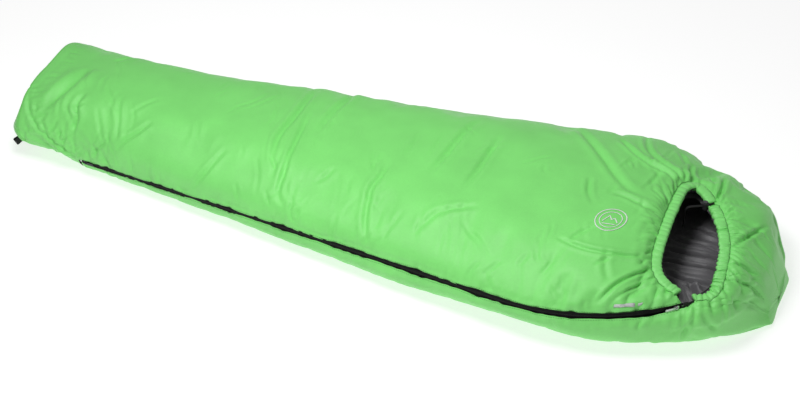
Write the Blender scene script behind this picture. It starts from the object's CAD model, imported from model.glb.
"""Mummy sleeping bag: soft shell, ruched hood, lining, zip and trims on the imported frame.

Metres, +Z up. The bag lies on the floor, +X toward the hood and -Y toward the zip side.
A place on the cloth is (x, g): distance along the bag, and distance round the section
above the zip line (negative below it).
"""
import math

import bmesh
import bpy
import numpy as np
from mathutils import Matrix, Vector


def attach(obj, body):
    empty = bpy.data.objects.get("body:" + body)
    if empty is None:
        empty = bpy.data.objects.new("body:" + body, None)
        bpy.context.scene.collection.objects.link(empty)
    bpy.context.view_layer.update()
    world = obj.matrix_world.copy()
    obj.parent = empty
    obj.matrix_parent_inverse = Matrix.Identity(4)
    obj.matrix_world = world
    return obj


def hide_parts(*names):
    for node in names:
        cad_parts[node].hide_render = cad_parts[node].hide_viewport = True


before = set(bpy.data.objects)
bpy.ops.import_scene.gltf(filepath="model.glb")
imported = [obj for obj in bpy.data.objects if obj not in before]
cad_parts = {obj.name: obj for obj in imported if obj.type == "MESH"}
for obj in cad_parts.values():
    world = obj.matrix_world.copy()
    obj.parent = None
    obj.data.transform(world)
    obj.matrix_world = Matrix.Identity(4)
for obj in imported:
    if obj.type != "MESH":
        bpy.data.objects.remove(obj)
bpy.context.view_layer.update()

# ---------------------------------------------------------------- driving dimensions
# the body: station along the bag, half width, height
OUTLINE = ((-1.085, 0.180, 0.152), (-1.045, 0.209, 0.229), (-0.935, 0.211, 0.225),
           (-0.585, 0.256, 0.214), (-0.085, 0.331, 0.216), (0.365, 0.399, 0.228),
           (0.665, 0.415, 0.237), (0.865, 0.352, 0.200), (1.015, 0.256, 0.176),
           (1.085, 0.165, 0.123), (1.115, 0.112, 0.053))
FOOT_X = OUTLINE[0][0]
HOOD_X = OUTLINE[-1][0]
WIDEST_AT = 0.42
UPPER_POWER = 2.3
LOWER_POWER = 3.5
BASE_FLATTEN = 0.05
FLOOR_CLEAR = 0.0006

# how the two ends and the underside settle from the plain loft
FOOT_BULGE = 0.016
FOOT_LENS_X = -0.810
FOOT_LENS_RUN = 0.240
FOOT_DRAW_IN = 0.42
FOOT_SLOPE = 0.031
FOOT_TUCK = 0.018
FOOT_CORNER = 0.014
HOOD_LEAN = 0.017
HOOD_TOE = 0.006
TUCK_UNDER = 0.022
TUCK_CHEST = 0.060
HOOD_BULGE = 0.004

# the zip: a straight run, then an arc up to the opening
ZIP_BEND_START = np.array((0.5086, -0.4114, 0.1069))
ZIP_SPLAY = math.radians(8.48)
ZIP_RISE = 0.0409
ZIP_TILT = 0.0814
ZIP_STRAIGHT = 1.374
ZIP_RADIUS = 0.529
ZIP_ARC = math.radians(49.5)
ZIP_START = -ZIP_STRAIGHT
ZIP_END = ZIP_RADIUS * ZIP_ARC
ZIP_OPEN = 0.0062
TAPE_FACE = 0.0009
SLIT_RUN = 0.012
FLAT_BY_ZIP = 0.024
TOOTH_PITCH = 0.0016
TOOTH_HALF = 0.00062
STITCH_PITCH = 0.0060
STITCH_LENGTH = 0.0040
STITCH_WIDTH = 0.0009

# the face opening, an egg in plan, and the channel round it
EGG_CENTRE = np.array((0.887, -0.049))
EGG_HALF_LEN = 0.225
EGG_HALF_WIDE = 0.090
EGG_TAPER = 0.30
EGG_TILT = math.radians(11.5)
# drawn-in corners: angle in degrees, reach, spread in degrees
EGG_CORNERS = ((-142.0, 0.018, 24.0), (-32.0, 0.016, 24.0), (-92.0, -0.005, 24.0),
               (28.0, -0.008, 34.0), (150.0, 0.018, 20.0), (180.0, 0.020, 9.0))
CHANNEL_HALF_W = 0.0125
CHANNEL_HALF_H = 0.0100
CHANNEL_SINK = 0.0060
CORD_EXIT = math.radians(48.0)
EXIT_HALF = 0.052
NEAR_STOP = math.radians(169.0)
PLEAT_QUILT = 0.0190
PLEAT_HOOD = 0.0145
HEM_TUCK = 0.0060
SEAM_R = 0.0009
CHANNEL_SIDES = 26
RINGS_PER_PLEAT = 16

# seams between the panels, and the least height of the bag's upper side
UPPER_SIDE = 0.09
FOOT_SEAM_X = -1.040
FOOT_SEAM_LEAN = 0.25
HOOD_SEAM_X = 0.845
TONGUE_X = 0.962
TONGUE_Y = -0.070
TENT_FLAT = 0.200
LINING_DEPTH = 0.043
LINING_FOOT_X = -0.970

# trims
LOOP_AT = (-1.070, 0.183, 0.057)
LOOP_REACH = 0.026
LOOP_EYE = 0.0045
LOOP_T = 0.0016
LOOP_W = 0.020
LOOP_ROOT = 0.006
EMBLEM_AT = np.array((0.690, 0.300))
EMBLEM_HALF = np.array((0.036, 0.044))
EMBLEM_CLEAR = 0.085
PRINT_LIFT = 0.0010
PRINT_T = 0.0003

CAMERA_AT = Vector((1.707, -3.744, 2.780))
CAMERA_AIM = Vector((0.088, -0.093, 0.100))
CAMERA_LENS = 80.1


# ---------------------------------------------------------------- small helpers
def smoothstep(t):
    t = np.clip(t, 0.0, 1.0)
    return t * t * (3.0 - 2.0 * t)


def bell(d, width):
    return np.exp(-(d / width) ** 2)


def smooth_table(xs, ys, x):
    """Monotone cubic through a few stations."""
    xs = np.asarray(xs, float)
    ys = np.asarray(ys, float)
    step = np.diff(xs)
    slope = np.diff(ys) / step
    tangent = np.zeros(len(xs))
    tangent[0] = slope[0]
    tangent[-1] = slope[-1]
    for i in range(1, len(xs) - 1):
        if slope[i - 1] * slope[i] > 0.0:
            tangent[i] = 2.0 * slope[i - 1] * slope[i] / (slope[i - 1] + slope[i])
    i = np.clip(np.searchsorted(xs, x) - 1, 0, len(step) - 1)
    t = (x - xs[i]) / step[i]
    a = (1.0 + 2.0 * t) * (1.0 - t) ** 2
    b = t * (1.0 - t) ** 2
    c = t * t * (3.0 - 2.0 * t)
    d = t * t * (t - 1.0)
    return a * ys[i] + b * step[i] * tangent[i] + c * ys[i + 1] + d * step[i] * tangent[i + 1]


OUT_X, OUT_W, OUT_H = np.array(OUTLINE).T


def half_width(x):
    return smooth_table(OUT_X, OUT_W, x)


def height(x):
    return smooth_table(OUT_X, OUT_H, x)


def top_z(x, y):
    """Height of the outer surface above a point of the plan."""
    reach = np.minimum(np.abs(y) / half_width(x), 1.0)
    crown = (1.0 - reach ** UPPER_POWER) ** (1.0 / UPPER_POWER)
    return height(x) * (WIDEST_AT + (1.0 - WIDEST_AT) * crown)


def soft_noise(u, v, cell, seed):
    """Smooth random field of about -1 to 1 with one value per cell."""
    lattice = np.random.default_rng(seed).uniform(-1.0, 1.0, (64, 64))
    a = u / cell
    b = v / cell
    i = np.floor(a).astype(int)
    j = np.floor(b).astype(int)
    s = smoothstep(a - i)
    t = smoothstep(b - j)
    low = lattice[i % 64, j % 64] * (1.0 - s) + lattice[(i + 1) % 64, j % 64] * s
    high = lattice[i % 64, (j + 1) % 64] * (1.0 - s) + lattice[(i + 1) % 64, (j + 1) % 64] * s
    return low * (1.0 - t) + high * t


def smooth_line(points, count):
    """Even points on a smooth curve through a few hand-set ones."""
    pts = np.asarray(points, float)
    if len(pts) == 2:
        return pts[0] + (pts[1] - pts[0]) * np.linspace(0.0, 1.0, count)[:, None]
    ends = np.vstack((2.0 * pts[0] - pts[1], pts, 2.0 * pts[-1] - pts[-2]))
    at = np.linspace(0.0, len(pts) - 1.0001, count)
    k = at.astype(int)
    t = (at - k)[:, None]
    p0, p1, p2, p3 = ends[k], ends[k + 1], ends[k + 2], ends[k + 3]
    return 0.5 * (2.0 * p1 + (p2 - p0) * t + (2.0 * p0 - 5.0 * p1 + 4.0 * p2 - p3) * t ** 2
                  + (3.0 * p1 - p0 - 3.0 * p2 + p3) * t ** 3)


def unit(v):
    """Vectors scaled to length one."""
    return v / np.maximum(np.linalg.norm(v, axis=-1, keepdims=True), 1e-12)


def run_length(line):
    """Distance along a line of points from its start."""
    return np.concatenate(([0.0], np.cumsum(np.linalg.norm(np.diff(line, axis=0), axis=1))))


def averaged(values, count):
    """Moving average over an odd count of neighbours."""
    return np.convolve(np.pad(values, count // 2, "edge"), np.ones(count) / count, "valid")


def metres(millimetres):
    return np.asarray(millimetres, float) / 1000.0


def quads(rows, cols, close_rows=False, close_cols=False):
    """Corner numbers of the cells in a grid of rows by cols points."""
    i = np.arange(rows if close_rows else rows - 1)[:, None]
    j = np.arange(cols if close_cols else cols - 1)[None, :]
    ahead = (i + 1) % rows
    beside = (j + 1) % cols
    cells = (i * cols + j, i * cols + beside, ahead * cols + beside, ahead * cols + j)
    return np.stack(cells, axis=2).reshape(-1, 4)


def linked(name, data):
    """An object of the scene that holds the given data."""
    obj = bpy.data.objects.new(name, data)
    bpy.context.scene.collection.objects.link(obj)
    return obj


def finish_piece(name, mesh, material, weld=0.0, smooth=True):
    """A named piece riding on the bag, welded or else with all its faces turned outward."""
    bm = bmesh.new()
    bm.from_mesh(mesh)
    if weld:
        bmesh.ops.remove_doubles(bm, verts=bm.verts, dist=weld)
        bmesh.ops.dissolve_degenerate(bm, edges=bm.edges, dist=1e-6)
    else:
        bmesh.ops.recalc_face_normals(bm, faces=bm.faces)
    bm.to_mesh(mesh)
    bm.free()
    for poly in mesh.polygons:
        poly.use_smooth = smooth
    mesh.materials.append(material)
    piece = linked(name, mesh)
    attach(piece, "bag")
    return piece


def tubes(name, rings, material, closed=False, smooth=True):
    """Tubes through rings[tube, ring, point], with flat ends unless they close on themselves."""
    rings = np.asarray(rings, float)
    count, length, sides = rings.shape[:3]
    skin = quads(length, sides, closed, True).tolist()
    if not closed:
        skin.append(list(range(sides)))
        skin.append(list(range((length - 1) * sides, length * sides)))
    starts = range(0, count * length * sides, length * sides)
    faces = [[start + k for k in face] for start in starts for face in skin]
    mesh = bpy.data.meshes.new(name)
    mesh.from_pydata(rings.reshape(-1, 3).tolist(), [], faces)
    return finish_piece(name, mesh, material, smooth=smooth)


def stand_for(piece, node):
    """Take the place and the slot of a frame node."""
    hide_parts(node)


# ---------------------------------------------------------------- zip line
ZIP_T = Vector((math.cos(ZIP_SPLAY), -math.sin(ZIP_SPLAY), ZIP_RISE)).normalized()
FLAT_IN = Vector((math.sin(ZIP_SPLAY), math.cos(ZIP_SPLAY), 0.0)).normalized()
FLAT_UP = ZIP_T.cross(FLAT_IN).normalized()
ZIP_IN = (FLAT_IN * math.cos(ZIP_TILT) + FLAT_UP * math.sin(ZIP_TILT)).normalized()
ZIP_UP = np.array(ZIP_T.cross(ZIP_IN).normalized())
ZIP_T = np.array(ZIP_T)
ZIP_IN = np.array(ZIP_IN)
ZIP_CENTRE = ZIP_BEND_START + ZIP_IN * ZIP_RADIUS


def zip_frame(s):
    """Points, travel directions and outward directions along the zip."""
    s = np.asarray(s, float)[..., None]
    a = np.maximum(s, 0.0) / ZIP_RADIUS
    tangent = ZIP_T * np.cos(a) + ZIP_IN * np.sin(a)
    outward = ZIP_T * np.sin(a) - ZIP_IN * np.cos(a)
    point = ZIP_CENTRE + outward * ZIP_RADIUS + ZIP_T * np.minimum(s, 0.0)
    return point, tangent, outward


ZIP_RUN = np.linspace(ZIP_START - 0.020, ZIP_END, 900)
ZIP_POINTS = zip_frame(ZIP_RUN)[0]
ZIP_FOOT_X = float(zip_frame(ZIP_START - 0.008)[0][0])
ZIP_HEAD_X = float(ZIP_POINTS[-1, 0])


def zip_plane_z(x, y):
    """Height of the zip's plane over the plan."""
    off = ZIP_BEND_START[1] + np.maximum(np.abs(y), TENT_FLAT)
    flat = (ZIP_BEND_START[0] - x) * ZIP_UP[0] + off * ZIP_UP[1]
    return ZIP_BEND_START[2] + flat / ZIP_UP[2]


# ---------------------------------------------------------------- lofted cloth grids
def section(x, a, depth):
    """Outline of the body at x, drawn in by depth, for section angles a."""
    w = half_width(x) - depth
    h = height(x)
    mid = WIDEST_AT * h
    c = np.cos(a)
    s = np.sin(a)
    power = np.where(s > 0.0, UPPER_POWER, LOWER_POWER)
    reach = np.where(s > 0.0, h - mid - depth, (mid - depth) * (1.0 + BASE_FLATTEN))
    y = w * np.sign(c) * np.abs(c) ** (2.0 / power)
    z = mid + reach * np.sign(s) * np.abs(s) ** (2.0 / power)
    return y, np.maximum(z, depth)


def zip_angle(x):
    """Section angle at which the zip line crosses station x."""
    at = min(x, ZIP_HEAD_X)
    a = np.linspace(math.pi - 1.3, math.pi + 1.3, 1301)
    y, z = section(at, a, 0.0)
    gap = z - zip_plane_z(at, y)
    hits = np.nonzero(gap[:-1] * gap[1:] <= 0.0)[0]
    return a[hits[np.argmin(np.abs(a[hits] - math.pi))]]


def zip_opening(x):
    """Half the bare width between the quilt edges, closing at both ends of the zip."""
    closing = smoothstep((x - ZIP_FOOT_X) / 0.014) * smoothstep((ZIP_HEAD_X + SLIT_RUN - x) / 0.012)
    wave = 0.0012 * math.sin(x * 31.0) + 0.0006 * math.sin(x * 74.0 + 1.0)
    wider = 0.0012 * float(smoothstep((x + 0.30) / 0.40))
    return (ZIP_OPEN + wave + wider) * float(closing)


def settle(p):
    """Sides tucked in underneath, and both ends drawn in as they lie on the floor."""
    end = smoothstep((FOOT_LENS_X - p[..., 0]) / FOOT_LENS_RUN)
    low = smoothstep((0.075 - p[..., 2]) / 0.070)
    near = smoothstep((0.160 - p[..., 1]) / 0.190)
    high = smoothstep((p[..., 2] - 0.050) / 0.110)
    tuck = (TUCK_UNDER + TUCK_CHEST * bell(p[..., 0] - 0.50, 0.20)) * (p[..., 1] < 0.0)
    under = smoothstep((0.085 - p[..., 2]) / 0.080)
    p[..., 1] *= 1.0 - np.maximum(FOOT_DRAW_IN * low * end, tuck * under)
    p[..., 2] -= FOOT_SLOPE * near * high * end
    # foot end: its wall drawn in below, its near corner standing out
    past = np.minimum(p[..., 0] - FOOT_X, 0.0)
    below = smoothstep((0.088 - p[..., 2]) / 0.050)
    p[..., 0] += (FOOT_TUCK - past) * below * smoothstep((-0.960 - p[..., 0]) / 0.100)
    p[..., 0] -= FOOT_CORNER * bell(p[..., 2] - 0.110, 0.040) * smoothstep(-p[..., 1] / 0.120) * end
    # hood end: leaning back above, its near toe standing out
    crown = smoothstep((p[..., 0] - 1.000) / 0.100)
    p[..., 0] -= HOOD_LEAN * crown * smoothstep(p[..., 2] / 0.080)
    toe = smoothstep((0.040 - p[..., 2]) / 0.040) * smoothstep((-0.020 - p[..., 1]) / 0.080)
    p[..., 0] += HOOD_TOE * crown * toe


def loft_grid(stations, base_steps, top_steps, depth=0.0, zip_gap=True):
    """Structured grid from the zip's lower edge round the base, far side and top.

    x and g are the cloth places of its points p, and far is the distance from the far edge.
    """
    base_t = np.linspace(0.0, 1.0, base_steps + 1) ** 1.5
    top_t = np.linspace(0.0, 1.0, top_steps + 1)[1:]
    rows = []
    below = []
    beyond = []
    for x, shrink in stations:
        inside = float(np.clip(x, FOOT_X, HOOD_X))
        start = zip_angle(inside)
        a = start + np.linspace(0.0, 2.0 * math.pi, 1441)
        y, z = section(inside, a, depth)
        centre = max(0.45 * height(inside), depth)
        y = y * shrink
        z = centre + (z - centre) * shrink
        run = np.concatenate(([0.0], np.cumsum(np.hypot(np.diff(y), np.diff(z)))))
        far = float(np.interp(3.0 * math.pi - start, a, run))
        edge = zip_opening(x) if zip_gap else 0.0
        s = np.concatenate((edge + (far - edge) * base_t, far + (run[-1] - edge - far) * top_t))
        rows.append(np.stack((np.full_like(s, x), np.interp(s, run, y), np.interp(s, run, z)), axis=1))
        g = -s
        g[base_steps + 1:] = run[-1] - s[base_steps + 1:]
        below.append(g)
        beyond.append(s - far)
    p = np.array(rows)
    settle(p)
    lean = FOOT_SEAM_LEAN * bell(p[..., 0] - FOOT_SEAM_X, 0.035)
    p[..., 0] -= lean * (p[..., 2] - 0.10)
    return {"p": p, "x": p[..., 0].copy(), "g": np.array(below), "far": np.array(beyond),
            "row_x": np.array([x for x, _ in stations]), "split": base_steps}


def station_run(low, high, count):
    return [(x, 1.0) for x in np.linspace(low, high, count + 1)[:-1]]


def end_cap(x, bulge, count):
    """Stations that round off one end; ordered outward."""
    out = []
    for i in range(1, count + 1):
        a = 0.5 * math.pi * i / count
        out.append((x + bulge * math.sin(a), max(math.cos(a), 0.0) ** 0.7))
    return out


# stretches of the quilt: where each ends, and how much closer its stations stand
STRETCHES = ((FOOT_SEAM_X, 1.5), (-0.860, 1.5), (0.560, 1.0),
             (HOOD_SEAM_X, 1.5), (TONGUE_X, 1.8), (HOOD_X, 1.6))


def body_stations(per_metre, caps):
    """Stations of the whole bag, with one on every cross seam."""
    out = end_cap(FOOT_X, -FOOT_BULGE, caps)[::-1]
    low = FOOT_X
    for high, closer in STRETCHES:
        out += station_run(low, high, max(3, round((high - low) * per_metre * closer)))
        low = high
    out.append((HOOD_X, 1.0))
    return out + end_cap(HOOD_X, HOOD_BULGE, caps)


def grid_normals(p):
    """Outward unit normals of a grid, shared by both edges where they meet."""
    n = unit(np.cross(np.gradient(p, axis=1), np.gradient(p, axis=0)))
    met = np.linalg.norm(p[:, 0] - p[:, -1], axis=1) < 1e-4
    shared = unit(n[met, 0] + n[met, -1])
    n[met, 0] = shared
    n[met, -1] = shared
    return n


def follow_zip(grid):
    """Bring both quilt edges onto the zip tape."""
    p = grid["p"]
    x = p[:, 0, 0]
    outward = zip_frame(np.interp(x, ZIP_POINTS[:, 0], ZIP_RUN))[2]
    target = np.stack([np.interp(x, ZIP_POINTS[:, 0], ZIP_POINTS[:, k]) for k in range(3)], axis=1)
    shift = target + outward * TAPE_FACE - 0.5 * (p[:, 0] + p[:, -1])
    shift[:, 0] = 0.0
    over = np.maximum(ZIP_FOOT_X - x, x - ZIP_HEAD_X)
    shift *= bell(np.maximum(over, 0.0), 0.060)[:, None]
    p += shift[:, None, :] * bell(grid["g"], 0.045)[..., None]


# ---------------------------------------------------------------- folds
def fold(x, g, points, depth, width, ridge=0.45):
    """A soft valley with raised shoulders along a line on the cloth."""
    line = smooth_line(points, max(6, 5 * len(points)))
    low = line.min(axis=0) - 6.0 * width
    high = line.max(axis=0) + 6.0 * width
    near = (x > low[0]) & (x < high[0]) & (g > low[1]) & (g < high[1])
    out = np.zeros_like(x)
    if not near.any():
        return out
    q = np.stack((x[near], g[near]), axis=1)
    best = np.full(len(q), 1e9)
    where = np.zeros(len(q))
    seg = np.linalg.norm(np.diff(line, axis=0), axis=1)
    start = run_length(line)
    for k in range(len(seg)):
        d = line[k + 1] - line[k]
        t = np.clip((q - line[k]) @ d / max(seg[k] ** 2, 1e-12), 0.0, 1.0)
        off = np.linalg.norm(q - line[k] - t[:, None] * d, axis=1)
        closer = off < best
        best = np.where(closer, off, best)
        where = np.where(closer, (start[k] + t * seg[k]) / start[-1], where)
    taper = 1.0 - np.abs(2.0 * where - 1.0) ** 3.0
    shape = ridge * bell(best - 2.2 * width, 1.2 * width) - bell(best, width)
    out[near] = depth * taper * shape
    return out


# folds in the quilt in millimetres: points (x, g) from the foot to the hood, depth, half width
FOOT_FOLDS = (
    (((-940, 330), (-945, 265), (-960, 210), (-985, 160)), 8, 24),
    (((-880, 215), (-888, 170), (-873, 125), (-885, 95)), 4.5, 10),
    (((-772, 235), (-762, 195), (-750, 150)), 2.5, 9),
    (((-640, 180), (-666, 140), (-700, 105), (-725, 70)), 3.8, 9),
    (((-390, 170), (-410, 118), (-427, 78), (-457, 28)), 3.5, 9),
    (((-756, 98), (-790, 58), (-806, 28)), 3.2, 7),
    (((-924, 100), (-917, 52)), 3, 7),
    (((-985, 120), (-957, 68)), 3.4, 8),
    (((-515, 235), (-492, 170)), 2, 9),
    (((-850, 450), (-880, 380)), 2.2, 10),
)
BODY_FOLDS = (
    (((-287, 527), (-272, 390), (-270, 280), (-258, 215), (-245, 155)), 5.2, 11),
    (((-240, 405), (-215, 270), (-200, 170), (-190, 92), (-158, 60)), 5, 10),
    (((-205, 627), (-180, 550), (-183, 440), (-176, 320)), 3.6, 12),
    (((-67, 220), (-81, 182), (-102, 150)), 2.6, 8),
    (((65, 300), (66, 235), (60, 185), (78, 100), (112, 30)), 5.4, 10),
    (((-137, 88), (-138, 53), (-120, 24)), 3.6, 6),
    (((-229, 90), (-205, 52)), 3, 6),
    (((208, 610), (197, 508), (192, 396), (183, 305)), 4.6, 12),
    (((296, 560), (297, 468), (299, 378), (293, 285)), 4.2, 12),
    (((355, 240), (270, 185), (220, 95)), 3.6, 11),
    (((419, 82), (404, 44), (403, 14)), 3.2, 7),
    (((475, 100), (438, 45)), 2.8, 7),
    (((536, 132), (521, 90)), 2.6, 8),
)
HOOD_FOLDS = (
    (((413, 787), (520, 650), (586, 567), (676, 458), (735, 415)), 4.2, 15),
    (((590, 700), (669, 622), (735, 571), (801, 506)), 7.5, 10),
    (((635, 802), (668, 698), (714, 632), (802, 532)), 7, 10),
    (((789, 660), (815, 560), (830, 510)), 8.5, 8),
    (((745, 725), (781, 640)), 4.5, 9),
    (((844, 620), (877, 516)), 6, 8),
    (((888, 560), (898, 470), (896, 435)), 7.5, 8),
    (((749, 485), (777, 447), (802, 405)), 5, 8),
    (((655, 412), (690, 410), (725, 393), (800, 345)), 5, 10),
    (((585, 200), (634, 188), (731, 178), (834, 163)), 6.2, 8),
    (((700, 140), (736, 170)), 3.8, 7),
    (((840, 132), (812, 122), (767, 83), (741, 30)), 6.4, 8),
    (((850, 96), (823, 83), (797, 66), (770, 38)), 5, 6),
    (((665, 270), (638, 234), (617, 195)), 3.6, 10),
    (((1036, 312), (1008, 236), (992, 190)), 7, 10),
    (((1006, 130), (1033, 106), (1058, 80)), 6, 9),
    (((1000, 55), (1030, 14), (1042, -18)), 5, 8),
    (((973, -8), (990, -39), (1012, -72)), 5.5, 8),
    (((966, -22), (949, -61), (939, -98)), 5, 8),
    (((985, 25), (1002, -24)), 4, 7),
    (((851, -14), (840, -40)), 4, 6),
)
# depth, width and shoulder of each group's folds beside the listed ones
FOLD_GROUPS = ((FOOT_FOLDS + BODY_FOLDS, 1.70, 0.66, 0.60), (HOOD_FOLDS, 1.55, 0.60, 0.45))
FOOT_STITCH = ((-1.062, 0.215), (-1.040, 0.158), (-1.003, 0.108), (-0.955, 0.062),
               (-0.905, 0.027), (-0.858, 0.003))
HOOD_STITCH = ((0.998, 0.086), (1.013, 0.067), (1.050, 0.050), (1.092, 0.018))

# where the small creases crowd together, as (x, g) in millimetres
CREASE_SPOTS = metres(((-960, 140), (-880, 110), (-760, 80), (-240, 200), (-190, 90), (-130, 60),
                       (70, 130), (110, 50), (220, 140), (330, 180), (410, 70), (560, 110),
                       (640, 480), (720, 600)))
# broad swells and dents: height, x, reach along, g, reach across
SWELLS = ((0.0075, 0.100, 0.400, 0.560, 0.130), (-0.0120, 0.815, 0.050, 0.650, 0.100),
          (-0.0090, 0.700, 0.060, 0.690, 0.110), (0.0080, 0.895, 0.035, 0.580, 0.100))


def zip_puckers(x, g, seed):
    """Short gathers that run up and down from the zip seam, closest at the foot."""
    rng = np.random.default_rng(seed)
    out = np.zeros_like(x)
    at = ZIP_FOOT_X - 0.02
    while at < ZIP_HEAD_X + 0.01:
        foot = float(smoothstep((-0.45 - at) / 0.30))
        hood = float(smoothstep((at - 0.55) / 0.25))
        depth = rng.uniform(0.0010, 0.0022) + 0.0022 * foot + 0.0016 * hood
        length = rng.uniform(0.018, 0.050) + 0.045 * foot * rng.uniform(0.3, 1.0)
        slant = rng.uniform(-0.35, 0.25) * length
        sign = 1.0 if rng.uniform() < 0.62 else -1.0
        line = ((at, -0.004 * sign), (at + 0.4 * slant, 0.5 * sign * length), (at + slant, sign * length))
        out += fold(x, g, line, depth * (1.0 if sign > 0.0 else 0.4), rng.uniform(0.0035, 0.0060), 0.35)
        at += rng.uniform(0.008, 0.020) + 0.012 * (1.0 - foot) * (1.0 - hood)
    return out * smoothstep((np.abs(g) - 0.007) / 0.013)


def fine_creases(x, g, seed):
    """Many short shallow creases, most of them round the crowded spots."""
    rng = np.random.default_rng(seed)
    out = np.zeros_like(x)
    for k in range(130):
        if k % 5 < 3:
            spot = CREASE_SPOTS[k % len(CREASE_SPOTS)]
            at = rng.normal(spot[0], 0.045)
            up = abs(rng.normal(spot[1], 0.055))
        else:
            at = rng.uniform(-1.00, 0.80)
            up = rng.uniform(0.02, 0.62)
        turn = math.radians(rng.normal(97.0, 22.0))
        reach = 0.5 * rng.uniform(0.040, 0.130)
        step = np.array((math.cos(turn), math.sin(turn))) * reach
        bend = np.array((-step[1], step[0])) * rng.uniform(-0.18, 0.18)
        middle = np.array((at, up))
        line = (middle - step, middle + bend, middle + step)
        clear = 1.0 - bell(math.hypot(at - EMBLEM_AT[0], up - EMBLEM_AT[1]), EMBLEM_CLEAR)
        depth = rng.uniform(0.0012, 0.0036) * clear
        out += fold(x, g, line, depth, rng.uniform(0.0034, 0.0058), 0.6)
    return out


def seam_ditch(d, depth, width):
    return -depth * bell(d, width) + 0.30 * depth * bell(np.abs(d) - 2.4 * width, 1.3 * width)


def seam_gathers(x, g, marks, across, depth, seed, both=True):
    """Small gathers beside a seam given as points on the cloth."""
    rng = np.random.default_rng(seed)
    line = smooth_line(marks, 60)
    length = run_length(line)
    out = np.zeros_like(x)
    at = 0.006
    while at < length[-1]:
        k = int(np.searchsorted(length, at).clip(1, 59))
        d = unit(line[k] - line[k - 1])
        side = np.array((-d[1], d[0])) * (-1.0 if both and rng.uniform() < 0.5 else 1.0)
        tip = line[k] + side * across * rng.uniform(0.5, 1.3) + d * rng.uniform(-0.4, 0.4) * across
        deep = depth * rng.uniform(0.5, 1.2)
        out += fold(x, g, (line[k] - 0.003 * side, tip), deep, rng.uniform(0.0035, 0.006), 0.3)
        at += rng.uniform(0.010, 0.022)
    return out


# ---------------------------------------------------------------- face opening
EGG_U = np.array((-math.sin(EGG_TILT), math.cos(EGG_TILT)))
EGG_V = np.array((math.cos(EGG_TILT), math.sin(EGG_TILT)))


def corner_reach(angle):
    """How far the drawn-in corners stand outside the plain egg."""
    reach = np.zeros_like(angle)
    for at, out, spread in EGG_CORNERS:
        off = (np.degrees(angle) - at + 180.0) % 360.0 - 180.0
        reach += out * bell(off, spread)
    return reach


def egg(angle, inset):
    """Plan points of the opening and their inward directions; 0 is the far tip."""
    u = np.cos(angle)
    v = np.sin(angle) * (1.0 - EGG_TAPER * u)
    p = EGG_CENTRE + np.multiply.outer(EGG_HALF_LEN * u, EGG_U) + np.multiply.outer(EGG_HALF_WIDE * v, EGG_V)
    du = -np.sin(angle) * EGG_HALF_LEN
    dv = (u * (1.0 - EGG_TAPER * u) + EGG_TAPER * np.sin(angle) ** 2) * EGG_HALF_WIDE
    along = unit(np.multiply.outer(du, EGG_U) + np.multiply.outer(dv, EGG_V))
    inward = np.stack((along[..., 1], -along[..., 0]), axis=-1)
    flip = np.sum(inward * (EGG_CENTRE - p), axis=-1) < 0.0
    inward[flip] *= -1.0
    return p + inward * (inset - corner_reach(angle))[..., None], inward


RIM_TURNS = np.linspace(0.0, 2.0 * math.pi, 361)[:-1]
EGG_RIM = egg(RIM_TURNS, 0.0)[0]
EGG_TUCKED = egg(RIM_TURNS, HEM_TUCK)[0]


def egg_gap(x, y, near=0.30):
    """Plan distance to the opening's edge, positive outside, and the nearest edge point."""
    q = np.stack((x.ravel(), y.ravel()), axis=1)
    close = np.nonzero(np.linalg.norm(q - EGG_CENTRE, axis=1) < near)[0]
    gap = np.full(len(q), near)
    foot = q.copy()
    for part in np.array_split(close, max(1, len(close) // 4000)):
        d = np.linalg.norm(q[part, None, :] - EGG_RIM[None], axis=2)
        k = d.argmin(axis=1)
        foot[part] = EGG_TUCKED[k]
        ahead = EGG_RIM[(k + 1) % len(EGG_RIM)] - EGG_RIM[k]
        off = q[part] - EGG_RIM[k]
        side = ahead[:, 0] * off[:, 1] - ahead[:, 1] * off[:, 0]
        gap[part] = d[np.arange(len(part)), k] * np.where(side > 0.0, 1.0, -1.0)
    return gap.reshape(x.shape), foot.reshape(*x.shape, 2)


# ---------------------------------------------------------------- cloth simulation
STATIONS_PER_METRE = 190.0
CAP_STATIONS = 8
BASE_STEPS = 80
TOP_STEPS = 200
RELIEF_CAP = 0.013
EASE = 0.14
SIM_FRAMES = 22
SIM_CAP = 0.011
CLOTH = {"quality": 6, "mass": 0.25, "tension_stiffness": 22.0, "compression_stiffness": 22.0,
         "shear_stiffness": 8.0, "bending_stiffness": 0.9, "tension_damping": 12.0,
         "compression_damping": 12.0, "vertex_group_mass": "held", "pin_stiffness": 1.0,
         "shrink_min": -0.030, "use_pressure": True, "uniform_pressure_force": 1.6}


def cubic_weights(at, count):
    """Matrix that reads a smooth curve through count samples at fractional places."""
    at = np.clip(at, 0.0, count - 1.0)
    k = np.minimum(at.astype(int), count - 2)
    t = at - k
    w = np.zeros((len(at), count))
    rows = np.arange(len(at))
    share = (-0.5 * t + t ** 2 - 0.5 * t ** 3, 1.0 - 2.5 * t ** 2 + 1.5 * t ** 3,
             0.5 * t + 2.0 * t ** 2 - 1.5 * t ** 3, -0.5 * t ** 2 + 0.5 * t ** 3)
    for step, part in zip((-1, 0, 1, 2), share):
        np.add.at(w, (rows, np.clip(k + step, 0, count - 1)), part)
    return w


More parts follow.
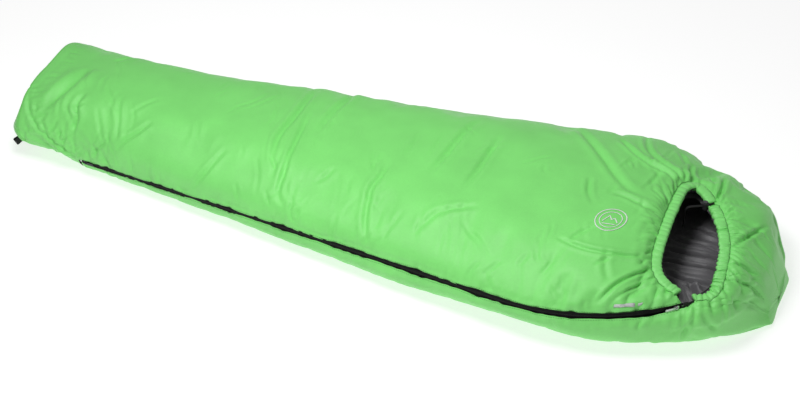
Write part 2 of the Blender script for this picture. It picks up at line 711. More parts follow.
def held_share(grid):
    """How firmly each point is held: at the seams, round the opening and on the floor."""
    p = grid["p"]
    gap, _ = egg_gap(grid["x"], p[..., 1])
    held = np.maximum.reduce((
        bell(grid["g"], 0.010), bell(grid["far"], 0.008),
        bell(np.maximum(gap, 0.0), 0.016) * (p[..., 2] > UPPER_SIDE),
        bell(grid["x"] - FOOT_X, 0.010), bell(grid["x"] - HOOD_X, 0.012)))
    held = np.maximum(held, 0.9 * smoothstep((0.012 - p[..., 2]) / 0.010))
    return np.round(np.clip(0.05 + 0.95 * held, 0.0, 1.0), 2).ravel()


def relax_quilt():
    """Cloth run of the whole quilt, held at its seams; returns how far each point moved."""
    grid = loft_grid([(x, 1.0) for x in np.linspace(FOOT_X, HOOD_X, 150)], 46, 66)
    follow_zip(grid)
    p = grid["p"]
    mesh = bpy.data.meshes.new("quilt_relax")
    mesh.from_pydata(p.reshape(-1, 3).tolist(), [], quads(*p.shape[:2]).tolist())
    obj = linked("quilt_relax", mesh)
    pin = obj.vertex_groups.new(name="held")
    levels = held_share(grid)
    for level in np.unique(levels):
        pin.add(np.nonzero(levels == level)[0].tolist(), float(level), "REPLACE")
    cloth = obj.modifiers.new("cloth", "CLOTH")
    for key, value in CLOTH.items():
        setattr(cloth.settings, key, value)
    cloth.settings.effector_weights.gravity = 0.0
    cloth.point_cache.frame_start = 1
    cloth.point_cache.frame_end = SIM_FRAMES
    scene = bpy.context.scene
    for f in range(1, SIM_FRAMES + 1):
        scene.frame_set(f)
    done = obj.evaluated_get(bpy.context.evaluated_depsgraph_get()).to_mesh()
    moved = np.zeros(p.size)
    done.vertices.foreach_get("co", moved)
    moved = moved.reshape(p.shape) - p
    scene.frame_set(1)
    bpy.data.objects.remove(obj, do_unlink=True)
    bpy.data.meshes.remove(mesh)
    far = np.linalg.norm(moved, axis=2, keepdims=True)
    moved *= SIM_CAP * np.tanh(far / SIM_CAP) / np.maximum(far, 1e-9)
    return moved, grid


def carry_over(moved, coarse, grid):
    """Read the simulated movement at every point of the fine grid."""
    xs = grid["p"][:, 0, 0]
    at = (xs - FOOT_X) / (HOOD_X - FOOT_X) * (moved.shape[0] - 1.0)
    along = cubic_weights(at, moved.shape[0])
    base_t = np.linspace(0.0, 1.0, grid["split"] + 1)
    top_t = np.linspace(0.0, 1.0, grid["p"].shape[1] - grid["split"])[1:]
    split = coarse["split"]
    at = np.concatenate((base_t * split, split + top_t * (moved.shape[1] - 1.0 - split)))
    across = cubic_weights(at, moved.shape[1])
    return np.einsum("ir,rck,jc->ijk", along, moved, across)



# ---------------------------------------------------------------- the quilted shell
def quilt_relief(grid):
    """How far the filled cloth stands from the plain loft, along its normal."""
    x = grid["x"]
    g = grid["g"]
    far = grid["far"]
    out = 0.0045 * (1.0 - bell(g, 0.013)) * bell(g, 0.085)
    out += 0.0016 * soft_noise(x + 5.0, g + 5.0, 0.130, 3) + 0.0008 * soft_noise(x + 5.0, g + 5.0, 0.055, 4)
    for rise, at, reach, up, across in SWELLS:
        out += rise * bell(x - at, reach) * bell(g - up, across)
    for folds, deeper, wider, shoulder in FOLD_GROUPS:
        for points, depth, width in folds:
            out += fold(x, g, metres(points), deeper * metres(depth), wider * metres(width), shoulder)
    out += fold(x, g, HOOD_STITCH, 0.0075, 0.0050, 0.55)
    out += fold(x, g, FOOT_STITCH, 0.0055, 0.0050, 0.55)
    out += seam_gathers(x, g, FOOT_STITCH, 0.055, 0.0034, 41, False)
    out += seam_gathers(x, g, HOOD_STITCH, 0.030, 0.0030, 43)
    out += zip_puckers(x, g, 11)
    out += fine_creases(x, g, 15)
    out += seam_ditch(x - FOOT_SEAM_X, 0.0014, 0.0040)
    out += seam_ditch(far, 0.0050, 0.0055)
    rng = np.random.default_rng(5)
    for _ in range(46):
        at = rng.uniform(-0.42, 0.60)
        reach = rng.uniform(0.020, 0.050) * (1.0 if rng.uniform() < 0.6 else -0.7)
        line = ((FOOT_SEAM_X, at), (FOOT_SEAM_X + reach, at + rng.uniform(-0.01, 0.01)))
        out += fold(x, g, line, rng.uniform(0.0010, 0.0026), rng.uniform(0.0040, 0.0065), 0.3)
    at = -0.98
    while at < 1.02:
        reach = rng.uniform(0.014, 0.040) * (1.0 if rng.uniform() < 0.5 else -1.0)
        line = ((at, 0.0), (at + rng.uniform(-0.012, 0.012), reach))
        out += fold(x, far, line, rng.uniform(0.0006, 0.0014), rng.uniform(0.0040, 0.0065), 0.3)
        at += rng.uniform(0.014, 0.034)
    return out * np.where(grid["p"][..., 2] > 0.02, 1.0, 0.35)


def opening_gathers(grid, gap, turn):
    """Gathers that run out from the drawn-in edge of the face opening."""
    out = np.zeros_like(gap)
    near = (gap < 0.10) & (gap > -0.02) & (grid["p"][..., 2] > UPPER_SIDE)
    round_rim = turn[near] * 0.20
    gap = gap[near]
    pleats = np.zeros_like(gap)
    rng = np.random.default_rng(21)
    at = -math.pi
    while at < math.pi:
        reach = rng.uniform(0.020, 0.055)
        line = ((at * 0.20, -0.004), (at * 0.20 + rng.uniform(-0.008, 0.008), reach))
        pleats += fold(round_rim, gap, line, rng.uniform(0.0025, 0.0065), rng.uniform(0.0035, 0.0055))
        at += rng.uniform(0.050, 0.130)
    pleats += 0.0065 * bell(gap - 0.026, 0.024) - 0.0035 * bell(gap, 0.006)
    out[near] = pleats - 0.0065 * smoothstep((0.001 - gap) / 0.006)
    return out


def eased(field):
    """Take the sharpest steps out of a field on the grid."""
    wide = np.pad(field, ((1, 1), (0, 0)), "edge")
    field = (1.0 - 2.0 * EASE) * field + EASE * (wide[:-2] + wide[2:])
    wide = np.pad(field, ((0, 0), (1, 1)), "edge")
    return (1.0 - 2.0 * EASE) * field + EASE * (wide[:, :-2] + wide[:, 2:])


def build_quilt_grid():
    """The finished outer surface: loft, cloth run, folds, and edges snapped to zip and opening."""
    grid = loft_grid(body_stations(STATIONS_PER_METRE, CAP_STATIONS), BASE_STEPS, TOP_STEPS)
    follow_zip(grid)
    moved, coarse = relax_quilt()
    below_zip = bell(grid["g"] + 0.045, 0.050) * (grid["g"] < 0.0)
    grid["p"] += carry_over(moved, coarse, grid) * (1.0 - 0.8 * below_zip)[..., None]
    p = grid["p"]
    gap, rim = egg_gap(p[..., 0], p[..., 1])
    turn = np.arctan2((p[..., :2] - EGG_CENTRE) @ EGG_V, (p[..., :2] - EGG_CENTRE) @ EGG_U)
    relief = quilt_relief(grid) + opening_gathers(grid, gap, turn)
    # the quilt lies flat beside the zip, with a low roll along its edges
    edge = np.abs(grid["g"][:, :1])
    zipped = np.clip(edge / 0.004, 0.0, 1.0)
    beside = np.abs(grid["g"]) - edge
    relief = eased(RELIEF_CAP * np.tanh(relief / RELIEF_CAP))
    relief *= 1.0 - zipped * (1.0 - smoothstep(beside / FLAT_BY_ZIP))
    relief += 0.0024 * zipped * smoothstep(beside / 0.005) * bell(grid["g"], 0.030)
    relief *= 1.0 - 0.8 * smoothstep((p[..., 0] - 1.060) / 0.050)
    p += grid_normals(p) * relief[..., None]
    p[..., 2] = np.maximum(p[..., 2], FLOOR_CLEAR)
    # past the zip's ends the two edges are one seam
    met = edge[:, 0] < 1e-5
    middle = 0.5 * (p[met, 0] + p[met, -1])
    p[met, 0] = middle
    p[met, -1] = middle
    # points near the opening's tucked edge move onto it, so that the panels end cleanly
    over = p[..., 2] > UPPER_SIDE - 0.002
    snap = (np.abs(gap + HEM_TUCK) < 0.0048) & over
    p[..., :2] = np.where(snap[..., None], rim, p[..., :2])
    grid["gap"] = np.where(over, gap, 1.0)
    grid["skin"] = np.dstack((p, grid_normals(p)))
    return grid


def panel_labels(grid, foot_x, tongue_x, inside):
    """Which sewn panel each face belongs to; a hole is cut where the gap is under inside."""
    p = grid["p"]
    y = 0.25 * (p[1:, 1:, 1] + p[:-1, 1:, 1] + p[1:, :-1, 1] + p[:-1, :-1, 1])
    mid = np.broadcast_to(0.5 * (p[1:, :1, 0] + p[:-1, :1, 0]), y.shape)
    top = np.broadcast_to(np.arange(y.shape[1]) >= grid["split"], y.shape)
    label = np.where(top, "top", "base").astype(object)
    label[mid > np.where(top & (y < TONGUE_Y), tongue_x, HOOD_SEAM_X)] = "hood"
    label[:int(np.searchsorted(grid["row_x"], foot_x - 1e-6))] = "footbox"
    within = grid["gap"] < inside
    label[within[1:, 1:] & within[:-1, 1:] & within[1:, :-1] & within[:-1, :-1]] = "hole"
    return label


def cloth_piece(name, grid, chosen, material):
    """One padded panel cut from a grid, with its cloth lengths as a UV layer."""
    p = grid["p"]
    used, cells = np.unique(quads(*p.shape[:2])[chosen.ravel()], return_inverse=True)
    cells = cells.reshape(-1, 4)
    mesh = bpy.data.meshes.new(name)
    mesh.from_pydata(p.reshape(-1, 3)[used].tolist(), [], cells.tolist())
    layer = mesh.uv_layers.new(name="cloth")
    flat = np.stack((grid["x"].ravel()[used], grid["g"].ravel()[used]), axis=1)[cells.ravel()]
    layer.data.foreach_set("uv", flat.astype(np.float32).ravel())
    piece = finish_piece(name, mesh, material, weld=2e-5)
    return piece


def on_cloth(x, g, lift=0.0):
    """Point and normal on the finished quilt at a place (x, g)."""
    stations = QUILT["p"][:, 0, 0]
    at = float(np.interp(x, stations, np.arange(len(stations))))
    i = min(int(at), len(stations) - 2)
    split = QUILT["split"]
    part = slice(split + 1, None) if g >= 0.0 else slice(0, split + 1)
    ends = []
    for row in (i, i + 1):
        line = QUILT["g"][row, part][::-1]
        skin = QUILT["skin"][row, part][::-1]
        ends.append(np.array([np.interp(g, line, skin[:, k]) for k in range(6)]))
    spot = ends[0] * (1.0 - (at - i)) + ends[1] * (at - i)
    normal = unit(spot[3:])
    return spot[:3] + normal * lift, normal


# ---------------------------------------------------------------- materials
WAVES_AT_SCALE_1 = 3.183


def dial(node, values):
    """Set inputs of a node."""
    for socket, value in values.items():
        node.inputs[socket].default_value = value


def wired(tree, kind, socket, source, values):
    """A node with one input linked and others set."""
    node = tree.nodes.new("ShaderNode" + kind)
    dial(node, values)
    tree.links.new(source, node.inputs[socket])
    return node


def node_material(name, colour, roughness, metallic=0.0, sheen=0.0, specular=0.5):
    """Principled material whose colour, roughness and bump come from nodes."""
    mat = bpy.data.materials.new(name)
    mat.use_nodes = True
    shader = mat.node_tree.nodes["Principled BSDF"]
    dial(shader, {"Base Color": (*colour, 1.0), "Roughness": roughness, "Metallic": metallic,
                  "Sheen Weight": sheen, "Sheen Roughness": 0.45, "Specular IOR Level": specular})
    mat.diffuse_color = (*colour, 1.0)
    return mat, mat.node_tree, shader


def coordinates(tree, cloth_layer):
    """Cloth lengths in metres where the piece has them, else object space."""
    if cloth_layer:
        node = tree.nodes.new("ShaderNodeUVMap")
        node.uv_map = "cloth"
        return node.outputs["UV"]
    return tree.nodes.new("ShaderNodeTexCoord").outputs["Object"]


def wave(tree, source, direction, per_metre):
    """Even bands, so many to the metre."""
    scale = per_metre / WAVES_AT_SCALE_1
    node = wired(tree, "TexWave", "Vector", source, {"Scale": scale, "Distortion": 0.0})
    node.wave_type = "BANDS"
    node.bands_direction = direction
    return node.outputs["Fac"]


def noise(tree, source, scale, detail=2.0):
    return wired(tree, "TexNoise", "Vector", source, {"Scale": scale, "Detail": detail}).outputs["Fac"]


def math_node(tree, operation, a, b):
    node = tree.nodes.new("ShaderNodeMath")
    node.operation = operation
    for k, value in enumerate((a, b)):
        if isinstance(value, (int, float)):
            node.inputs[k].default_value = value
        else:
            tree.links.new(value, node.inputs[k])
    return node.outputs[0]


def roughen(tree, shader, fac, low, high):
    """Roughness from low to high as a 0 to 1 field rises."""
    node = wired(tree, "MapRange", "Value", fac, {"To Min": low, "To Max": high})
    tree.links.new(node.outputs["Result"], shader.inputs["Roughness"])


def shade(colour, factor):
    return tuple(min(c * factor, 1.0) for c in colour)


def two_tones(tree, shader, fac, colour, darker, lighter):
    """Base colour between two shades of one colour as a 0 to 1 field rises."""
    ramp = wired(tree, "ValToRGB", "Fac", fac, {})
    for element, place, factor in zip(ramp.color_ramp.elements, (0.25, 0.75), (darker, lighter)):
        element.position = place
        element.color = (*shade(colour, factor), 1.0)
    tree.links.new(ramp.outputs["Color"], shader.inputs["Base Color"])


def bump(tree, shader, field, distance):
    node = wired(tree, "Bump", "Height", field, {"Strength": 1.0, "Distance": distance})
    tree.links.new(node.outputs["Normal"], shader.inputs["Normal"])


def woven(name, colour, roughness, sheen, threads, relief, ripstop=0.0, cloth_layer=False):
    """Fine plain weave with slow tone changes and, for ripstop, a raised square grid."""
    mat, tree, shader = node_material(name, colour, roughness, 0.0, sheen)
    at = coordinates(tree, cloth_layer)
    weave = math_node(tree, "MULTIPLY", wave(tree, at, "X", threads), wave(tree, at, "Y", threads))
    slow = noise(tree, at, 9.0, 3.0)
    fine = noise(tree, at, 160.0, 2.0)
    mostly_slow = math_node(tree, "MULTIPLY", slow, 0.75)
    tone = math_node(tree, "ADD", mostly_slow, math_node(tree, "MULTIPLY", fine, 0.25))
    two_tones(tree, shader, tone, colour, 0.90, 1.07)
    height_field = math_node(tree, "ADD", weave, math_node(tree, "MULTIPLY", fine, 0.6))
    if ripstop:
        rip = math_node(tree, "MAXIMUM", wave(tree, at, "X", ripstop), wave(tree, at, "Y", ripstop))
        rip = math_node(tree, "POWER", rip, 24.0)
        height_field = math_node(tree, "ADD", height_field, math_node(tree, "MULTIPLY", rip, 0.8))
    roughen(tree, shader, fine, roughness - 0.06, roughness + 0.08)
    bump(tree, shader, height_field, relief)
    return mat


def webbing(name, colour, ribs, specular=0.5):
    """Narrow ribbed tape."""
    mat, tree, shader = node_material(name, colour, 0.80, specular=specular)
    at = coordinates(tree, False)
    ribbed = wave(tree, at, "DIAGONAL", ribs)
    fine = noise(tree, at, 420.0, 2.0)
    two_tones(tree, shader, fine, colour, 0.7, 1.5)
    roughen(tree, shader, fine, 0.72, 0.90)
    bump(tree, shader, math_node(tree, "ADD", ribbed, fine), 0.00025)
    return mat


def moulded(name, colour, roughness, specular=0.5):
    """Moulded plastic with a faint grain."""
    mat, tree, shader = node_material(name, colour, roughness, specular=specular)
    at = coordinates(tree, False)
    grain = noise(tree, at, 900.0, 3.0)
    two_tones(tree, shader, noise(tree, at, 60.0), colour, 0.85, 1.15)
    roughen(tree, shader, grain, roughness - 0.05, roughness + 0.10)
    bump(tree, shader, grain, 0.00004)
    return mat


def plated(name, colour, roughness):
    """Cast metal with a plated, lightly worn surface."""
    mat, tree, shader = node_material(name, colour, roughness, 1.0)
    wear = noise(tree, coordinates(tree, False), 260.0, 4.0)
    two_tones(tree, shader, wear, colour, 0.80, 1.10)
    roughen(tree, shader, wear, roughness - 0.08, roughness + 0.14)
    bump(tree, shader, wear, 0.00003)
    return mat


GREEN = (0.205, 0.725, 0.165)
GREEN_DEEP = (0.170, 0.640, 0.130)
GREEN_BAND = (0.230, 0.760, 0.190)
INK = (0.120, 0.117, 0.125)
TAPE = (0.006, 0.0065, 0.006)
RESIN = (0.022, 0.022, 0.024)
CAP = (0.060, 0.060, 0.064)
STEEL = (0.700, 0.705, 0.720)
PALE = (0.780, 0.800, 0.790)
SILVER = (0.520, 0.560, 0.530)

SHELL_CLOTH = woven("shell_taffeta", GREEN, 0.44, 0.06, 1500.0, 0.00010, 190.0, True)
FOOT_CLOTH = woven("footbox_taffeta", GREEN_DEEP, 0.46, 0.06, 1500.0, 0.00010, 190.0, True)
LINING_CLOTH = woven("lining_taffeta", INK, 0.40, 0.35, 1700.0, 0.00008, 0.0, True)
TUBE_CLOTH = woven("draught_tube_taffeta", INK, 0.45, 0.30, 1700.0, 0.00008)
FACING_CLOTH = woven("facing_taffeta", INK, 0.42, 0.35, 1700.0, 0.00008)
BAND_CLOTH = woven("channel_taffeta", GREEN_BAND, 0.42, 0.08, 1500.0, 0.00010)
PRINT = woven("pale_print", PALE, 0.50, 0.05, 1500.0, 0.00006)
REFLECTIVE = woven("reflective_tape", SILVER, 0.30, 0.05, 1200.0, 0.00006)
THREAD = woven("sewing_thread", shade(GREEN, 0.42), 0.60, 0.05, 2500.0, 0.00008)
ZIP_TAPE = webbing("zip_tape_weave", TAPE, 700.0, 0.15)
LOOP_WEB = webbing("loop_webbing", TAPE, 480.0)
FELT = webbing("loop_felt", TAPE, 900.0)
CORD_BRAID = webbing("cord_braid", TAPE, 620.0)
TOOTH = moulded("coil_nylon", TAPE, 0.42, 0.15)
LOCK_SHELL = moulded("cord_lock_plastic", RESIN, 0.38)
LOCK_CAP = moulded("cord_lock_button", CAP, 0.22)
METAL = plated("plated_zinc", STEEL, 0.26)
DARK_METAL = plated("blackened_zinc", CAP, 0.34)


# ---------------------------------------------------------------- shell
QUILT = build_quilt_grid()
LABELS = panel_labels(QUILT, FOOT_SEAM_X, TONGUE_X, 0.0008 - HEM_TUCK)
for panel in ("top", "base", "hood", "footbox"):
    cloth = FOOT_CLOTH if panel == "footbox" else SHELL_CLOTH
    piece = cloth_piece("quilt_" + panel, QUILT, LABELS == panel, cloth)
    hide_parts("shell_" + panel, "fill_" + panel)


# ---------------------------------------------------------------- lining
# folds under the face opening, as (x, y) in millimetres
LINING_FOLDS = metres((
    ((800, 90), (860, 50), (960, 60)),
    ((790, 30), (870, 0), (985, 20)),
    ((800, -30), (880, -50), (990, -30)),
    ((820, -80), (890, -110), (985, -100)),
    ((860, -130), (900, -190), (900, -250)),
    ((900, -120), (950, -170), (985, -210)),
    ((840, -120), (830, -180), (845, -240)),
    ((830, 140), (900, 110), (950, 120)),
))


def build_lining():
    """Inner cloth, slack enough to lie in folds under the face opening."""
    marks = ((-1.042, LINING_FOOT_X, 8), (LINING_FOOT_X, 0.700, 60), (0.700, HOOD_SEAM_X, 48),
             (HOOD_SEAM_X, TONGUE_X, 44), (TONGUE_X, 1.063, 36))
    stations = [(-1.043, 0.05)]
    for low, high, count in marks:
        stations += station_run(low, high, count)
    stations += [(1.063, 1.0), (1.064, 0.05)]
    grid = loft_grid(stations, 170, 90, LINING_DEPTH, False)
    p = grid["p"]
    x = grid["x"]
    y = p[..., 1].copy()
    low = p[..., 2] < 0.10
    near = bell(x - 0.90, 0.13) * bell(y + 0.01, 0.25)
    rise = 0.044 * near * (0.8 + 0.2 * soft_noise(x + 5.0, y + 5.0, 0.070, 8))
    for k, line in enumerate(LINING_FOLDS):
        rise += fold(x, y, line, 0.011 + 0.003 * (k % 3), 0.0060, 0.9)
    rise = np.where(low, np.maximum(rise + 0.004, 0.0), 0.0)
    p += grid_normals(p) * (-rise + 0.0015 * soft_noise(x + 5.0, grid["g"] + 5.0, 0.06, 9))[..., None]
    grid["gap"] = np.where(low, 1.0, egg_gap(x, y)[0])
    return grid


LINING = build_lining()
LINING_LABELS = panel_labels(LINING, LINING_FOOT_X, HOOD_SEAM_X, -0.012)
for panel in ("top", "base", "hood", "footbox"):
    piece = cloth_piece("inner_" + panel, LINING, LINING_LABELS == panel, LINING_CLOTH)
    stand_for(piece, "lining_" + panel)


def opening_facing():
    """Inner face of the opening, from the channel down to the lining."""
    steps = 12
    turn = 2.0 * np.pi * np.arange(420) / 420
    t = (np.arange(steps + 1) / steps)[:, None]
    pleat = 0.0018 * np.sin(turn * 61.0 + 1.2 * np.sin(turn * 7.0)) * np.sin(np.pi * np.minimum(t * 1.3, 1.0))
    rim = egg(turn, 0.0215 - 0.040 * t ** 1.6 + pleat)[0]
    edge = egg(turn, 0.013)[0]
    drop = 0.008 + (LINING_DEPTH - 0.012) * smoothstep(t) + 0.5 * pleat
    verts = np.dstack((rim, top_z(*edge.T) - drop)).reshape(-1, 3)
    mesh = bpy.data.meshes.new("opening_facing")
    mesh.from_pydata(verts.tolist(), [], quads(steps + 1, len(turn), close_cols=True).tolist())
    finish_piece("opening_facing", mesh, FACING_CLOTH, weld=1e-6)


opening_facing()


# ---------------------------------------------------------------- ruched drawcord channel
def quilt_height(x, y):
    """Height of the finished quilt near the opening, at points of the plan."""
    spots = QUILT["p"][np.abs(QUILT["gap"]) < 0.030]
    d = np.hypot(spots[None, :, 0] - x[:, None], spots[None, :, 1] - y[:, None])
    order = np.argsort(d, axis=1)[:, :4]
    weight = 1.0 / (np.take_along_axis(d, order, axis=1) + 1e-5)
    return np.sum(weight * spots[order, 2], axis=1) / np.sum(weight, axis=1)


def channel_line(angles):
    """Centre line of the channel, set level with the quilt's own edge."""
    p, inward = egg(angles, CHANNEL_HALF_W + 0.0008)
    rim = egg(angles, 0.0)[0]
    rise = averaged(quilt_height(*rim.T) - top_z(*rim.T), 2 * (len(angles) // 30) + 1)
    z = top_z(*p.T) - CHANNEL_SINK + np.clip(rise, -0.002, 0.006)
    return np.column_stack((p, z)), np.column_stack((inward, np.zeros(len(p))))


def ruched_channel(name, a0, a1, node, seed, pleat, crush):
    """Flat gathered cloth tube: sharp pleats across it and a scalloped inner edge."""
    turns = np.linspace(a0, a1, 400)
    run = run_length(channel_line(turns)[0])
    along = np.linspace(0.0, run[-1], int(run[-1] / pleat) * RINGS_PER_PLEAT + 1)
    centre, inward = channel_line(np.interp(along, run, turns))
    tangent = unit(np.gradient(centre, axis=0))
    across = unit(inward - tangent * np.sum(inward * tangent, axis=1, keepdims=True))
    up = np.cross(tangent, across)
    up *= np.sign(up[:, 2:3])
    still = np.zeros_like(along)
    drift = 0.85 * soft_noise(along + 3.0, still + seed, 0.036, seed)[:, None]
    size = (0.5 + 0.5 * soft_noise(along + 3.0, still + 2.5, 0.012, seed + 1))[:, None]
    u = 2.0 * np.pi * np.arange(CHANNEL_SIDES) / CHANNEL_SIDES
    flat_cos = np.sign(np.cos(u)) * np.abs(np.cos(u)) ** 0.75
    flat_sin = np.sign(np.sin(u)) * np.abs(np.sin(u)) ** 0.75
    lean = 0.34 * crush * np.sin(u + 4.0 * drift) * (0.4 + size)
    phase = (along / pleat)[:, None] + drift + lean
    hill = np.sin(np.pi * (phase % 1.0) ** 0.75) ** 0.6
    wider_phase = (along / (1.9 * pleat))[:, None] + 2.0 * drift - lean
    hill = hill * (0.55 + 0.45 * np.abs(np.sin(np.pi * wider_phase)) ** 0.7)
    swell = 1.0 - crush * (0.28 + 0.44 * size) * (1.0 - hill)
    inner = smoothstep((np.cos(u) + 0.1) / 0.8)
    wide = CHANNEL_HALF_W * (1.12 + crush * (0.46 * hill - 0.28) * inner * (0.4 + size))
    high = CHANNEL_HALF_H * (0.88 + 0.34 * size)
    slide = 0.0022 * crush * np.sin(2.0 * np.pi * phase) * size
    ring = (centre[:, None] + across[:, None] * (wide * flat_cos)[..., None]
            + up[:, None] * (high * flat_sin * swell)[..., None] + tangent[:, None] * slide[..., None])
    obj = tubes(name, [ring], BAND_CLOTH)
    stand_for(obj, node)


def channel_seam(name, a0, a1, seed):
    """Thin wavering seam line where the channel is sewn to the quilt."""
    angles = np.linspace(a0, a1, 520)
    waver = 0.0011 * soft_noise(angles * 0.2 + 3.0, np.zeros_like(angles) + seed, 0.010, seed)
    p, inward = egg(angles, 0.0)
    p = p + inward * waver[:, None]
    centre = np.column_stack((p, averaged(quilt_height(*p.T), 5) + 0.0006))
    tangent = unit(np.gradient(centre, axis=0))
    side = unit(np.cross(tangent, (0.0, 0.0, 1.0)))
    up = np.cross(side, tangent)
    a = (2.0 * np.pi * np.arange(6) / 6)[:, None]
    ring = centre[:, None] + SEAM_R * (side[:, None] * np.cos(a) + up[:, None] * np.sin(a))
    tubes(name, [ring], THREAD)


QUILT_SIDE = (-NEAR_STOP, CORD_EXIT - EXIT_HALF)
HOOD_SIDE = (CORD_EXIT + EXIT_HALF, NEAR_STOP)
ruched_channel("hem_quilt_side", *QUILT_SIDE, "channel_quilt_side", 31, PLEAT_QUILT, 0.48)
ruched_channel("hem_hood_side", *HOOD_SIDE, "channel_hood_side", 37, PLEAT_HOOD, 1.25)
channel_seam("seam_quilt_side", *QUILT_SIDE, 31)
channel_seam("seam_hood_side", *HOOD_SIDE, 37)


# ---------------------------------------------------------------- zip chain
def zip_teeth(name, side, node):
    """One row of nylon coil elements that reach between those of the other row."""
    count = int((ZIP_END - 0.004 - ZIP_START) / TOOTH_PITCH)
    s = ZIP_START + TOOTH_PITCH * (np.arange(count) + (0.5 if side > 0.0 else 0.0))
    point, tangent, outward = (v[:, None, None] for v in zip_frame(s))
    half = np.array(((-0.00008, 0.0005), (0.0022, 0.0008), (0.0030, 0.0004)))
    reach, rise = np.vstack((half, half[::-1] * (1.0, -1.0))).T[..., None]
    ends = np.array((-TOOTH_HALF, TOOTH_HALF))[:, None, None]
    rings = point + tangent * ends + ZIP_UP * (side * reach) + outward * rise
    stand_for(tubes(name, rings, TOOTH, smooth=False), node)


zip_teeth("teeth_upper", 1.0, "zip_coil_upper")
zip_teeth("teeth_lower", -1.0, "zip_coil_lower")


# ---------------------------------------------------------------- trims on the cloth
def cloth_strip(name, line, width, thick, material):
    """Thin closed band laid on the quilt along points (x, g)."""
    line = np.asarray(line, float)
    closed = bool(np.allclose(line[0], line[-1]))
    if closed:
        line = line[:-1]
        wide = np.vstack((line[-1], line, line[0]))
    else:
        wide = np.vstack((2.0 * line[0] - line[1], line, 2.0 * line[-1] - line[-2]))
    ahead = unit(wide[2:] - wide[:-2])
    side = 0.5 * width * np.stack((-ahead[:, 1], ahead[:, 0]), axis=1)
    low = PRINT_LIFT
    high = PRINT_LIFT + thick
    corners = ((-1.0, low), (-1.0, high), (1.0, high), (1.0, low))
    ring = [[on_cloth(*(q + way * n), up)[0] for way, up in corners] for q, n in zip(line, side)]
    tubes(name, [ring], material, closed)


def corner_line(points, per_side=8):
    """Straight runs between corners, with points in between."""
    pts = np.asarray(points, float)
    out = [pts[0]]
    for a, b in zip(pts[:-1], pts[1:]):
        for k in range(1, per_side + 1):
            out.append(a + (b - a) * k / per_side)
    return np.array(out)


def emblem():
    """Plain roundel: two rings round two peaks and a ground line."""
    a = np.linspace(0.0, 2.0 * math.pi, 61)
    ring = EMBLEM_HALF * np.stack((np.cos(a), np.sin(a)), axis=1)
    peaks = ((-0.018, -0.010), (-0.006, 0.016), (0.002, 0.000), (0.008, 0.008), (0.018, -0.010))
    ground = ((-0.016, -0.018), (0.016, -0.018))
    for name, line, width in (("ring", ring, 0.0026), ("inner_ring", 0.72 * ring, 0.0020),
                              ("peaks", corner_line(peaks), 0.0024), ("ground", corner_line(ground), 0.0024)):
        cloth_strip("emblem_" + name, EMBLEM_AT + line, width, PRINT_T, PRINT)


def stitch_row(name, line):
    """Sewing stitches along points (x, g): one small rounded bar for each."""
    line = smooth_line(line, 240)
    run = run_length(line)
    outline = ((-0.5, 0.0), (-0.3, 0.54), (0.3, 0.54), (0.5, 0.0))
    bars = []
    at = 0.5 * STITCH_PITCH
    while at + STITCH_LENGTH < run[-1]:
        spots = [[np.interp(s, run, line[:, k]) for k in (0, 1)] for s in (at, at + STITCH_LENGTH)]
        (p0, n0), (p1, n1) = (on_cloth(*spot) for spot in spots)
        bar = []
        for p, n, size in ((p0, n0, 0.6), (0.5 * (p0 + p1), 0.5 * (n0 + n1), 1.0), (p1, n1, 0.6)):
            wide = STITCH_WIDTH * size
            side = np.cross(n, unit(p1 - p0))
            bar.append([p + side * (c * wide) + n * (0.0002 + up * wide) for c, up in outline])
        bars.append(bar)
        at += STITCH_PITCH
    tubes(name, bars, THREAD)


emblem()
cloth_strip("reflective_bar", corner_line(((0.780, 0.026), (0.824, 0.024))), 0.0075, PRINT_T, REFLECTIVE)
cloth_strip("reflective_dash", corner_line(((0.831, 0.0245), (0.841, 0.0245))), 0.0060, PRINT_T, REFLECTIVE)
ZIP_STITCH_X = np.linspace(ZIP_FOOT_X + 0.01, ZIP_HEAD_X - 0.004, 40)
stitch_row("stitches_above_zip", [(x, zip_opening(x) + 0.0030) for x in ZIP_STITCH_X])
stitch_row("stitches_below_zip", [(x, -zip_opening(x) - 0.0030) for x in ZIP_STITCH_X])
stitch_row("stitches_hood_seam", [(x, g + 0.004) for x, g in HOOD_STITCH])
cloth_strip("zip_foot_tail", corner_line(((ZIP_FOOT_X - 0.002, -0.001), (ZIP_FOOT_X + 0.001, -0.022))),
            0.0080, 0.0010, ZIP_TAPE)


def foot_loop(node, side):
    """Hanging loop of folded webbing, its ends sewn into the foot end."""
    off = np.linalg.norm(QUILT["p"] - (LOOP_AT[0], side * LOOP_AT[1], LOOP_AT[2]), axis=2)
    root, normal = np.split(QUILT["skin"][np.unravel_index(off.argmin(), off.shape)], 2)
    out = unit(normal * (1.0, 1.0, 0.5) + (-0.5, 0.0, 0.0))
    across = np.array((-out[1], out[0], 0.0)) / math.hypot(out[0], out[1])
    upright = np.cross(out, across)
    turns = np.linspace(-0.5 * math.pi, 0.5 * math.pi, 7)
    eye = [(LOOP_REACH - LOOP_EYE + LOOP_EYE * math.cos(a), LOOP_EYE * math.sin(a)) for a in turns]
    path = smooth_line([(-LOOP_ROOT, -0.0010), (0.2 * LOOP_REACH, -0.0018)] + eye
                       + [(0.2 * LOOP_REACH, 0.0018), (-LOOP_ROOT, 0.0010)], 41)
    corners = [(0.5 * LOOP_T * a, 0.5 * LOOP_W * b) for a, b in ((-1, -1), (-1, 1), (1, 1), (1, -1))]
    ring = []
    for (along, wide), (da, dw) in zip(path, unit(np.gradient(path, axis=0))):
        ring.append([root + out * (along - dw * thick) + across * (wide + da * thick) + upright * lift
                     for thick, lift in corners])
    stand_for(tubes(node.replace("foot_loop", "hanging_loop"), [ring], LOOP_WEB, smooth=False), node)


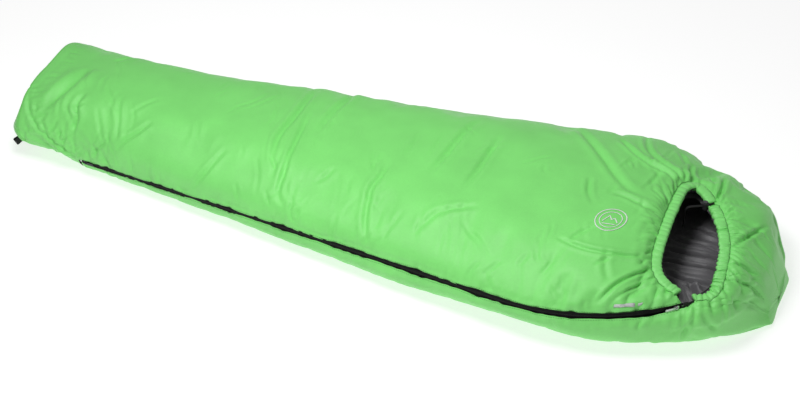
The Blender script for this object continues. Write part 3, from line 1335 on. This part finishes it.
foot_loop("foot_loop_near", -1.0)
foot_loop("foot_loop_far", 1.0)


# ---------------------------------------------------------------- frame nodes that keep their shape
NODE_FINISH = (
    (ZIP_TAPE, ("zip_tape_upper", "zip_tape_lower")),
    (METAL, ("zip_head_stop_upper", "zip_head_stop_lower", "zip_foot_stop",
             "head_slider_body", "head_slider_pull", "cord_lock_spring")),
    (DARK_METAL, ("foot_slider_body", "foot_slider_pull")),
    (TUBE_CLOTH, ("draught_tube",)),
    (LOOP_WEB, ("zip_head_tab",)),
    (FELT, ("zip_head_loop_patch",)),
    (CORD_BRAID, ("drawcord",)),
    (LOCK_SHELL, ("cord_lock_body",)),
    (LOCK_CAP, ("cord_lock_button",)),
)
for material, nodes in NODE_FINISH:
    for node in nodes:
        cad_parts[node].data.materials.clear()
        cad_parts[node].data.materials.append(material)


# ---------------------------------------------------------------- floor, light and camera
def aimed(name, data, at, aim):
    """A light or camera that looks from one point to another."""
    obj = linked(name, data)
    obj.location = at
    obj.rotation_mode = "QUATERNION"
    obj.rotation_quaternion = (Vector(aim) - Vector(at)).to_track_quat("-Z", "Y")
    return obj


def floor():
    mesh = bpy.data.meshes.new("floor")
    corners = [(x, y, -0.0005) for x, y in ((-8, -8), (8, -8), (8, 8), (-8, 8))]
    mesh.from_pydata(corners, [], [(0, 1, 2, 3)])
    mat, _, shader = node_material("lit_floor", (0.45, 0.45, 0.45), 0.85)
    dial(shader, {"Emission Color": (1.0, 1.0, 1.0, 1.0), "Emission Strength": 0.70})
    mesh.materials.append(mat)
    linked("floor", mesh)


def studio():
    """White surroundings and one soft box over the bag."""
    world = bpy.data.worlds.new("studio")
    bpy.context.scene.world = world
    world.use_nodes = True
    dial(world.node_tree.nodes["Background"], {"Color": (1.0, 1.0, 1.0, 1.0), "Strength": 0.31})
    data = bpy.data.lights.new("key", "AREA")
    data.size = 0.95
    data.energy = 42.0
    aimed("key", data, (-0.05, -0.85, 2.25), (0.0, -0.05, 0.10))


def camera():
    data = bpy.data.cameras.new("camera")
    data.lens = CAMERA_LENS
    data.sensor_width = 36.0
    data.clip_end = 60.0
    bpy.context.scene.camera = aimed("camera", data, CAMERA_AT, CAMERA_AIM)


floor()
studio()
camera()
bpy.context.scene.view_settings.view_transform = "Standard"
